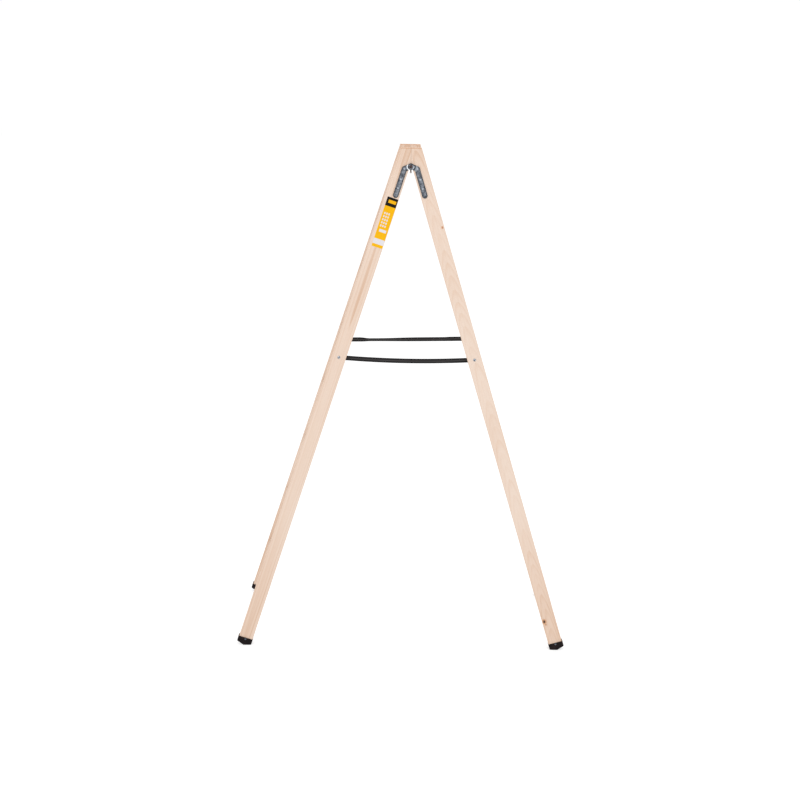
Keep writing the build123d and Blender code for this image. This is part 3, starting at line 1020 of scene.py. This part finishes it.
@dataclass(frozen=True)
class LadderFrame:
    """The ladder's main lines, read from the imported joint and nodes."""

    pivot: Vector
    lean: float
    splay: float
    stile_middle: float  # at the floor, from the plane between the sections
    top_half_width: float = 0.150  # along the rungs
    foot_half_width: float = 0.310
    edge_gap: float = 0.004  # from the pivot's axis to a stile's inner edge
    half_width: float = 0.030  # of a stile
    half_thickness: float = 0.014

    @classmethod
    def read(cls) -> "LadderFrame":
        """Takes the lines from the frame.

        Returns:
            The ladder's frame.
        """
        fold = next(joint for joint in frame["joints"] if joint["name"] == "fold")
        lean = math.radians(fold["range_deg"][1] - fold["range_deg"][0]) / 2.0
        pivot = Vector(fold["pos_m"])
        slope = CAD_BOX[1][2] / math.cos(lean)
        splay = math.atan((cls.foot_half_width - cls.top_half_width) / slope)
        middle = pivot.z * math.tan(lean) + (cls.edge_gap + cls.half_width) / math.cos(lean)
        return cls(pivot, lean, splay, middle)

    def board_axes(self, side: Side, face: Face) -> Matrix:
        """Frame of one stile: out from the ladder, through the wood, up the grain.

        Args:
            side: the section.
            face: the end of the rungs.

        Returns:
            The frame, its origin on the stile's middle line at the floor. It turns only.
        """
        out = Vector((math.cos(self.lean), 0.0, math.sin(self.lean)))
        slope = Vector((-math.sin(self.lean), 0.0, math.cos(self.lean)))
        up = slope * math.cos(self.splay) + Vector((0.0, math.sin(self.splay), 0.0))
        inward = up.cross(out)
        origin = Vector((self.stile_middle, -self.foot_half_width, 0.0)) + inward * self.half_thickness
        flip = Vector((side.value, -face.value, 1.0))
        out, up, origin = (Vector(a * b for a, b in zip(line, flip)) for line in (out, up, origin))
        axes = Matrix((out, up.cross(out), up)).transposed().to_4x4()
        axes.translation = origin
        return axes

    def section_axes(self, side: Side) -> Matrix:
        """Frame of one section at the pivot: out from the ladder, along the pivot, up the slope."""
        return Matrix.Translation(self.pivot) @ Matrix.Rotation(-side.value * self.lean, 4, "Y")


STILE_CUTS = {
    (Side.LEFT, Face.FRONT): Cut((0.004, 0.073), (0.003, 0.002), -0.02, 0.28, 0.006),
    (Side.LEFT, Face.REAR): Cut((-0.020, -0.060), (-0.006, 0.012), 0.14, 0.24),
    (Side.RIGHT, Face.FRONT): Cut((-0.008, 0.090), (-0.008, -0.030), -0.14, 0.56, 0.022, 0.0020, 0.6),
    (Side.RIGHT, Face.REAR): Cut((0.030, 0.055), (0.012, 0.008), 0.10, 0.30),
}
SEEN_KNOTS = (
    Knot(-0.0205, 0.1410, 0.0060),
    Knot(-0.0172, 0.1250, 0.0019, (0.20, 0.10, 0.05)),
    Knot(0.0221, 1.9129, 0.0028, (0.42, 0.19, 0.12)),
)


@dataclass(frozen=True)
class Section:
    """Stiles and rungs of one section."""

    side: Side
    ladder: LadderFrame
    pine: PineFinish
    rungs: int = 7
    pith_aside: float = 0.05  # the most that a log's heart lies beside a rung
    pith_depth: Pair = (0.03, 0.07)  # above or below it
    slant: float = 0.02
    warmest: float = 0.16

    def dress(self) -> None:
        """Gives every stile and rung its own board."""
        boards = [self._stile_board(face) for face in Face]
        boards += [self._rung_board(number) for number in range(1, self.rungs + 1)]
        for board in boards:
            dress(board.name, self.pine.material(board))

    def _stile_board(self, face: Face) -> Board:
        """The cut of one stile.

        Args:
            face: the end of the rungs that it stands at.

        Returns:
            The board.
        """
        axes = self.ladder.board_axes(self.side, face)
        name = f"{self.side.word}_{face.word}_stile"
        knots = SEEN_KNOTS if (self.side, face) == (Side.RIGHT, Face.FRONT) else ()
        size = (self.ladder.half_width, self.ladder.half_thickness)
        return Board(name, axes, *size, STILE_CUTS[self.side, face], CAD_BOX[1][2], knots)

    def _rung_board(self, number: int) -> Board:
        """The cut of one rung, unlike its neighbours.

        Args:
            number: the rung's number from the floor.

        Returns:
            The board.
        """
        chance = random.Random(f"{self.side.word} rung {number}")
        name = f"{self.side.word}_rung_{number}"
        low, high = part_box(name)
        axes = Matrix.Rotation(-math.pi / 2.0, 4, "X")
        axes.translation = (low + high) / 2.0
        cut = Cut(
            pith=(
                chance.uniform(-self.pith_aside, self.pith_aside),
                chance.choice((-1, 1)) * chance.uniform(*self.pith_depth),
            ),
            slant=(chance.uniform(-self.slant, self.slant), chance.uniform(-self.slant, self.slant)),
            tone=chance.uniform(0.0, self.warmest),
        )
        return Board(name, axes, (high.x - low.x) / 2.0, (high.z - low.z) / 2.0, cut)


@dataclass(frozen=True)
class FootCaps:
    """Moulded caps under the four stiles."""

    ladder: LadderFrame
    rubber: Material
    screw_steel: Material
    wall: float = 0.0030
    fit_gap: float = 0.0001
    stile_radius: float = 0.0015
    rim_rounding: float = 0.0007
    sole_rounding: float = 0.0016
    panel_margin: float = 0.0055
    panel_slope: float = 0.0006
    panel_depth: float = 0.0005
    panel_area: float = 4e-4  # least of a side that has a panel
    block_foot: float = -0.020  # lower end of the block, before the sole is cut
    along: float = 0.999  # least cosine between a face's normal and the axis that it looks along
    square: float = math.radians(60.0)  # least between the faces at a rim
    at_rim: float = 1e-5  # from the rim's height
    downward: float = 0.8  # least cosine between the normal of the sole and the stile
    screw_rounding: float = 0.0003

    def build(self) -> None:
        """Builds each cap over its CAD node, and rounds the edges of the screws."""
        for side, face in CORNERS:
            node = f"{side.word}_{face.word}_foot_cap"
            mesh = self._cap(node, side, face)
            add_piece(f"{node}_moulding", mesh, self.rubber, side.body, "black_rubber", node)
        for side in Side:
            node = f"{side.word}_foot_screws"
            add_eased(node, "turned", self.screw_rounding, self.screw_steel, side.body, "zinc_steel")

    def _cap(self, node: str, side: Side, face: Face) -> BMesh:
        """One cap: rounded block, V-shaped sole, socket for the stile and sunk side panels.

        Args:
            node: the CAD node that gives its height.
            side: the section.
            face: the end of the rungs.

        Returns:
            The cap's mesh in the row frame.
        """
        axes = self.ladder.board_axes(side, face)
        to_stile = axes.inverted()
        low, high = node_corners(node, axes)
        rim = high.z
        mesh = self._block(side, axes, low, high)
        _, through, up = axes.to_3x3().col
        top = [facet for facet in mesh.faces if facet.normal.dot(up) > self.along]
        bmesh.ops.inset_region(mesh, faces=top, thickness=self.wall, use_even_offset=True)
        floor = bmesh.ops.extrude_face_region(mesh, geom=top)
        bmesh.ops.delete(mesh, geom=top, context="FACES")
        moved = [item for item in floor["geom"] if isinstance(item, BMVert)]
        stile_end = node_corners(f"{side.word}_{face.word}_stile", axes)[0].z
        bmesh.ops.translate(mesh, verts=moved, vec=-up * (rim - stile_end))
        mesh.normal_update()
        rims = [
            edge for edge in hard_edges(mesh, self.square)
            if all(abs((to_stile @ vert.co).z - rim) < self.at_rim for vert in edge.verts)
        ]
        round_edges(mesh, rims, self.rim_rounding, 2)
        side_y = self.ladder.half_thickness + self.wall / 2.0
        panels = [
            facet for facet in mesh.faces
            if abs(facet.normal.dot(through)) > self.along
            and facet.calc_area() > self.panel_area
            and abs((to_stile @ facet.calc_center_median()).y) > side_y
        ]
        bmesh.ops.inset_individual(mesh, faces=panels, thickness=self.panel_margin, depth=0.0)
        bmesh.ops.inset_individual(mesh, faces=panels, thickness=self.panel_slope, depth=-self.panel_depth)
        bmesh.ops.recalc_face_normals(mesh, faces=mesh.faces)
        return mesh

    def _block(self, side: Side, axes: Matrix, low: Vector, high: Vector) -> BMesh:
        """Rounded block with a sole of two facets.

        Args:
            side: the section.
            axes: the stile's frame.
            low: the cap's lowest corner in that frame.
            high: its highest corner in that frame.

        Returns:
            The block's mesh in the row frame.
        """
        foot = Vector((low.x, low.y, self.block_foot))
        mesh = bmesh.new()
        shape = Matrix.Translation((foot + high) / 2.0) @ Matrix.Diagonal((*(high - foot), 1.0))
        bmesh.ops.create_cube(mesh, size=1.0, matrix=shape)
        long_edges = [edge for edge in mesh.edges if abs(edge.verts[0].co.z - edge.verts[1].co.z) > high.z]
        round_edges(mesh, long_edges, self.stile_radius + self.wall + self.fit_gap, 6)
        bmesh.ops.transform(mesh, matrix=axes, verts=mesh.verts)
        ridge = Vector((side.value * self.ladder.stile_middle, 0.0, 0.0))
        lean = 2.0 * self.ladder.lean
        turned_away = Vector((side.value * math.sin(lean), 0.0, -math.cos(lean)))
        for normal in (Vector((0.0, 0.0, -1.0)), turned_away):
            self._slice(mesh, ridge, normal)
        mesh.normal_update()
        up = axes.to_3x3().col[2]
        sole = [facet for facet in mesh.faces if facet.normal.dot(up) < -self.downward]
        sole_edges = {edge for facet in sole for edge in facet.edges}
        round_edges(mesh, list(sole_edges), self.sole_rounding, 3)
        return mesh

    @staticmethod
    def _slice(mesh: BMesh, point: Vector, normal: Vector) -> None:
        """Cuts off what lies beyond a plane and closes the cut.

        Args:
            mesh: the mesh.
            point: a point on the plane.
            normal: the plane's normal, towards what is cut off.
        """
        geometry = [*mesh.verts, *mesh.edges, *mesh.faces]
        cut = bmesh.ops.bisect_plane(mesh, geom=geometry, plane_co=point, plane_no=normal, clear_outer=True)
        edges = [item for item in cut["geom_cut"] if isinstance(item, BMEdge)]
        bmesh.ops.contextual_create(mesh, geom=edges)


@dataclass(frozen=True)
class Hinge:
    """Leaves, pins and screws at the top."""

    ladder: LadderFrame
    leaf_steel: SteelFinish
    zinc: SteelFinish
    browned: SteelFinish
    rusted: SteelFinish
    elbow: Pair = (0.0221, -0.0167)
    arm_end: float = -0.1295
    half_width: float = 0.011
    # painted light: the left leaf gets a painted highlight ring round the pivot;
    # the right leaf gets a painted highlight arc, a painted shade ring at the step and a painted highlight
    # towards the elbow
    bands: dict[Side, tuple[Band, ...]] = field(
        default_factory=lambda: {
            Side.LEFT: (Band(0.0130, 0.0175, (0.86, 0.88, 0.90)),),
            Side.RIGHT: (
                Band(0.0112, 0.0138, (0.62, 0.65, 0.69), 0.8, (0.69, -0.72)),
                Band(0.0164, 0.0188, (0.016, 0.018, 0.022), 0.9),
                Band(0.0205, 0.0300, (0.46, 0.50, 0.54), 0.45),
            ),
        }
    )
    leaf_rounding: float = 0.0007
    small_rounding: float = 0.00025
    rust_growth: float = 0.0004

    def build(self) -> None:
        """Rounds the edges of the sheet metal and turned pieces."""
        for side, face in CORNERS:
            elbow_x, elbow_z = self.elbow
            spine = ((0.0, 0.0), (side.value * elbow_x, elbow_z), (side.value * elbow_x, self.arm_end))
            steel = self.leaf_steel.material(
                f"{side.word}_{face.word}",
                self.ladder.section_axes(side),
                spine,
                self.half_width,
                self.bands[side],
            )
            node = f"{side.word}_{face.word}_hinge_leaf"
            add_eased(node, "plate", self.leaf_rounding, steel, side.body, "grey_steel", 3)
        around_pivot = Matrix.Translation(self.ladder.pivot)
        dark = self.browned.material("pins", around_pivot)
        rust = self.rusted.material("split_pins", around_pivot)
        grey = self.leaf_steel.material("washers", around_pivot)
        plain = self.zinc.material("screws", around_pivot)
        for face in Face:
            turned = (("pivot_pin", dark, "grey_steel"), ("pivot_washer", grey, "zinc_steel"))
            for part, steel, slot in turned:
                add_eased(f"{face.word}_{part}", "turned", self.small_rounding, steel, "pivot_pins", slot)
            node = f"{face.word}_split_pin"
            mesh = eased_copy(node, self.small_rounding)
            for vert in mesh.verts:
                vert.co += vert.normal * self.rust_growth
            add_piece(f"{node}_bent", mesh, rust, "pivot_pins", "zinc_steel", node)
        for side in Side:
            node = f"{side.word}_hinge_screws"
            add_eased(node, "turned", self.small_rounding, plain, side.body, "zinc_steel")


def smooth_step(value: float, low: float, high: float) -> float:
    """Smooth step from 0 at low to 1 at high."""
    share = min(1.0, max(0.0, (value - low) / (high - low)))
    return share * share * (3.0 - 2.0 * share)


@dataclass(frozen=True)
class Hang:
    """How one band lies between its bolts."""

    left_roll: float  # degrees, of the left half about its own length
    right_roll: float
    rise: float = 0.0  # from the left end to the right one
    lift: float = 0.0  # of the whole free length


@dataclass(frozen=True)
class StayStraps:
    """Webbing bands that stop the sections from sliding apart, with their bolts."""

    ladder: LadderFrame
    zinc: SteelFinish
    width: float = 0.020
    thickness: float = 0.0017
    squareness: float = 0.42  # of the section, from 1 for a diamond towards 0 for a box
    rounding: float = 0.0003  # of the fasteners' edges
    groove_turn: float = 45.0
    groove_width: float = 0.0024
    groove_depth: float = 0.0016
    stations: int = 200
    around: int = 28
    clamped: float = 0.010  # from a bolt, still flat on the stile
    freed: float = 0.032  # from a bolt, out from behind the stile
    untwisted: float = 0.075  # from a bolt, behind its washer when folded
    twisted: float = 0.125  # from a bolt, beside its washer when folded
    turning: Pair = (-0.45, 0.25)  # where the roll changes, as shares of the bolts' X
    hangs: dict[Face, Hang] = field(
        default_factory=lambda: {
            Face.FRONT: Hang(3.0, -4.0),
            Face.REAR: Hang(-34.5, -12.0, 0.015, 0.0022),
        }
    )

    def build(self) -> None:
        """Builds both bands and rounds the edges of their fasteners."""
        webbing = WebbingFinish(self.width / 2.0).material()
        for face in Face:
            self._band(face, webbing)
        plain = self.zinc.material("straps", Matrix())
        for side in Side:
            self._bolts(side)
            for part in ("strap_washers", "strap_nuts"):
                add_eased(f"{side.word}_{part}", "turned", self.rounding, plain, side.body, "zinc_steel")

    def _bolts(self, side: Side) -> None:
        """Bolts of one section, with a groove across each head.

        Args:
            side: the section.
        """
        node = f"{side.word}_strap_bolts"
        axes = self.ladder.section_axes(side)
        low, high = node_corners(node, axes)
        middle = ((low.x + high.x) / 2.0, (low.z + high.z) / 2.0)
        groove = Groove(middle, self.groove_turn, self.groove_width / 2.0, high.y - self.groove_depth)
        mesh = eased_copy(node, self.rounding)
        bmesh.ops.transform(mesh, matrix=axes.inverted(), verts=mesh.verts)
        groove.sink(mesh)
        bmesh.ops.transform(mesh, matrix=axes, verts=mesh.verts)
        # the groove in each head is painted dark as shade
        steel = self.zinc.material(f"{side.word}_strap_bolts", axes, groove=groove)
        add_piece(f"{node}_turned", mesh, steel, side.body, "zinc_steel", node)

    def _band(self, face: Face, webbing: Material) -> None:
        """One band between the bolts, riding on the left section.

        Args:
            face: the end of the rungs that it hangs at.
            webbing: its finish.
        """
        node = f"{face.word}_strap"
        hang = self.hangs[face]
        low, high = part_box(node)
        nuts = [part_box(f"{side.word}_strap_nuts") for side in Side]
        bolt_x = fmean(abs(corner.x) for pair in nuts for corner in pair)
        end_z = high.z - self.width / 2.0
        sag = (end_z - low.z - self.width / 2.0) * (bolt_x / high.x) ** 2
        tilt = -face.value * math.atan(math.tan(self.ladder.splay) * math.cos(self.ladder.lean))
        centre = (low + high) / 2.0
        mesh, places = self._ribbon(2.0 * high.x)
        up = Vector((0.0, math.sin(tilt), math.cos(tilt)))
        level = Vector((0.0, math.cos(tilt), -math.sin(tilt)))
        for vert, (share, across, out) in places.items():
            x = low.x + share * (high.x - low.x)
            free = 1.0 - smooth_step(abs(x), bolt_x - self.freed, bolt_x - self.clamped)
            rightward = smooth_step(x / bolt_x, *self.turning)
            twist = 1.0 - smooth_step(abs(x), bolt_x - self.twisted, bolt_x - self.untwisted)
            roll = math.radians(hang.left_roll + (hang.right_roll - hang.left_roll) * rightward) * twist
            lift = sag * ((x / bolt_x) ** 2 - 1.0) + (hang.rise * x / (2.0 * bolt_x) + hang.lift) * free
            middle_z = end_z - sag * ((high.x / bolt_x) ** 2 - 1.0) + lift
            middle = Vector((x, centre.y, centre.z)) + up * ((middle_z - centre.z) / math.cos(tilt))
            middle -= level * (face.value * abs(math.sin(roll)) * self.width / 2.0)
            across_line = up * math.cos(roll) + level * math.sin(roll)
            out_line = level * math.cos(roll) - up * math.sin(roll)
            vert.co = middle + across_line * across + out_line * out
        bmesh.ops.remove_doubles(mesh, verts=mesh.verts, dist=MERGE / 2.0)
        bmesh.ops.holes_fill(mesh, edges=mesh.edges, sides=0)
        bmesh.ops.recalc_face_normals(mesh, faces=mesh.faces)
        band = add_piece(f"{node}_webbing", mesh, webbing, Side.LEFT.body, "black_webbing", node)
        bolt_z = fmean(corner.z for pair in nuts for corner in pair)
        self._declare(band, bolt_x, centre.y, bolt_z)

    def _ribbon(self, length: float) -> tuple[BMesh, dict[BMVert, Triple]]:
        """Flat grid that is to be rolled up into a band, its weave mapped in metres.

        Args:
            length: the band's length.

        Returns:
            The mesh, and each vertex's share of the length and place across and through the band.
        """
        mesh = bmesh.new()
        bmesh.ops.create_grid(mesh, x_segments=self.stations, y_segments=self.around, size=0.5)
        weave = mesh.loops.layers.uv.new("weave")
        places = {vert: (vert.co.x + 0.5, *self._outline(vert.co.y + 0.5)) for vert in mesh.verts}
        for face in mesh.faces:
            for loop in face.loops:
                share, across, _ = places[loop.vert]
                loop[weave].uv = (share * length, across)
        return mesh, places

    def _outline(self, share: float) -> Pair:
        """A point on the outline of the band's section.

        Args:
            share: of the way round.

        Returns:
            Its place across and through the band.
        """
        angle = 2.0 * math.pi * share
        waves = ((math.cos(angle), self.width / 2.0), (math.sin(angle), self.thickness / 2.0))
        across, out = (math.copysign(abs(wave) ** self.squareness, wave) * half for wave, half in waves)
        return across, out

    def _declare(self, band: Object, bolt_x: float, y: float, z: float) -> None:
        """Works out how far the band would shorten as the ladder folds, and gives the band a mesh of its
        own.

        Args:
            band: the band's object.
            bolt_x: the bolts' distance from the middle.
            y: the band's place along the pivot.
            z: the bolts' height.
        """
        left = Vector((-bolt_x, y, z))
        right = Vector((bolt_x, y, z))
        turn = Matrix.Rotation(2.0 * self.ladder.lean, 3, "Y")
        centre = Vector((self.ladder.pivot.x, y, self.ladder.pivot.z))
        folded = centre + turn @ (right - centre)
        travel = right - folded
        axis = travel.normalized()
        keep = 1.0 - travel.length / axis.dot(right - left)
        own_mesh(band)


@dataclass(frozen=True)
class Sticker:
    """Plain film on the left front stile."""

    ladder: LadderFrame
    film: StickerFinish

    def dress(self) -> None:
        """Prints the film's fields of colour."""
        axes = self.ladder.board_axes(Side.LEFT, Face.FRONT)
        dress("label", self.film.material(axes, *node_corners("label", axes)))


@dataclass(frozen=True)
class PhotoCamera:
    """Camera at the photograph's viewpoint."""

    place: Triple = (-0.0836, -5.441, 2.4416)
    yaw: float = 0.645
    pitch: float = 14.433
    roll: float = -1.235
    focal_pixels: float = 1270.0
    frame_pixels: float = 800.0
    sensor: float = 36.0
    clip_end: float = 200.0

    def build(self) -> None:
        """Sets the scene's camera."""
        yaw, pitch, roll = (math.radians(angle) for angle in (self.yaw, self.pitch, self.roll))
        turned = Matrix.Translation(self.place)
        for angle, axis in ((-yaw, "Z"), (math.pi / 2.0 - pitch, "X"), (-roll, "Z")):
            turned = turned @ Matrix.Rotation(angle, 4, axis)
        data = bpy.data.cameras.new("photo_camera")
        data.sensor_width = self.sensor
        data.lens = self.focal_pixels / self.frame_pixels * self.sensor
        data.clip_end = self.clip_end
        camera = add_object("photo_camera", data)
        camera.matrix_world = turned
        bpy.context.scene.camera = camera
        LOG.info("camera at %s, lens %.2f mm", self.place, data.lens)


@dataclass(frozen=True)
class SoftLight:
    """One large lamp aimed at the ladder's middle."""

    name: str
    place: Triple
    size: float
    watts: float
    aim: Triple = (0.0, 0.0, 1.0)

    def build(self) -> None:
        """Hangs the lamp."""
        data = bpy.data.lights.new(self.name, "AREA")
        data.shape = "DISK"
        data.size = self.size
        data.energy = self.watts
        lamp = add_object(self.name, data)
        lamp.location = self.place
        towards = Vector(self.aim) - Vector(self.place)
        lamp.rotation_euler = towards.to_track_quat("-Z", "Y").to_euler()


@dataclass(frozen=True)
class Studio:
    """White floor, white surroundings and soft lamps."""

    floor: FloorFinish
    floor_half_size: float = 40.0
    surround: float = 1.01
    lamps: tuple[SoftLight, ...] = (
        SoftLight("key_lamp", (-2.6, -4.2, 4.2), 2.4, 46.0),
        SoftLight("fill_lamp", (3.4, -3.6, 2.8), 3.0, 26.0),
        SoftLight("back_lamp", (0.4, 3.6, 4.4), 2.6, 30.0),
    )

    def build(self) -> None:
        """Lays the floor and lights the scene."""
        mesh = bmesh.new()
        bmesh.ops.create_grid(mesh, x_segments=1, y_segments=1, size=self.floor_half_size)
        data = bpy.data.meshes.new("studio_floor")
        mesh.to_mesh(data)
        mesh.free()
        data.materials.append(self.floor.material())
        add_object("studio_floor", data)
        for lamp in self.lamps:
            lamp.build()
        world = bpy.data.worlds.new("studio_surround")
        world.use_nodes = True
        background = world.node_tree.nodes["Background"].inputs
        background["Color"].default_value = (1.0, 1.0, 1.0, 1.0)
        background["Strength"].default_value = self.surround
        bpy.context.scene.world = world
        bpy.context.scene.view_settings.view_transform = "Standard"
        LOG.info("studio with %d lamps", len(self.lamps))


def main() -> None:
    """Builds the camera, the ladder's pieces and the studio in order."""
    logging.basicConfig(level=logging.INFO, format="%(name)s: %(message)s")
    ladder = LadderFrame.read()
    # each steel's third colour is painted shade for a strip's edges, used only on the hinge leaves
    grey_steel = SteelFinish(
        "grey_steel", (0.046, 0.053, 0.067), (0.305, 0.330, 0.372), (0.032, 0.037, 0.044), 0.36, 85.0
    )
    zinc = SteelFinish(
        "zinc_steel", (0.260, 0.290, 0.340), (0.620, 0.660, 0.710), (0.200, 0.220, 0.250), 0.26, 220.0
    )
    browned = SteelFinish(
        "browned_steel", (0.030, 0.021, 0.026), (0.135, 0.092, 0.085), (0.026, 0.018, 0.020), 0.38, 160.0
    )
    rusted = SteelFinish(
        "rusted_steel", (0.070, 0.034, 0.016), (0.150, 0.080, 0.040), (0.050, 0.025, 0.012), 0.70, 400.0,
        wear=0.2, metallic=0.1,
    )
    PhotoCamera().build()
    for side in Side:
        Section(side, ladder, PineFinish()).dress()
    FootCaps(ladder, RubberFinish().material(), grey_steel.material("foot_screws", Matrix())).build()
    Hinge(ladder, grey_steel, zinc, browned, rusted).build()
    StayStraps(ladder, zinc).build()
    Sticker(ladder, StickerFinish()).dress()
    Studio(FloorFinish()).build()


if __name__ == "__main__":
    main()
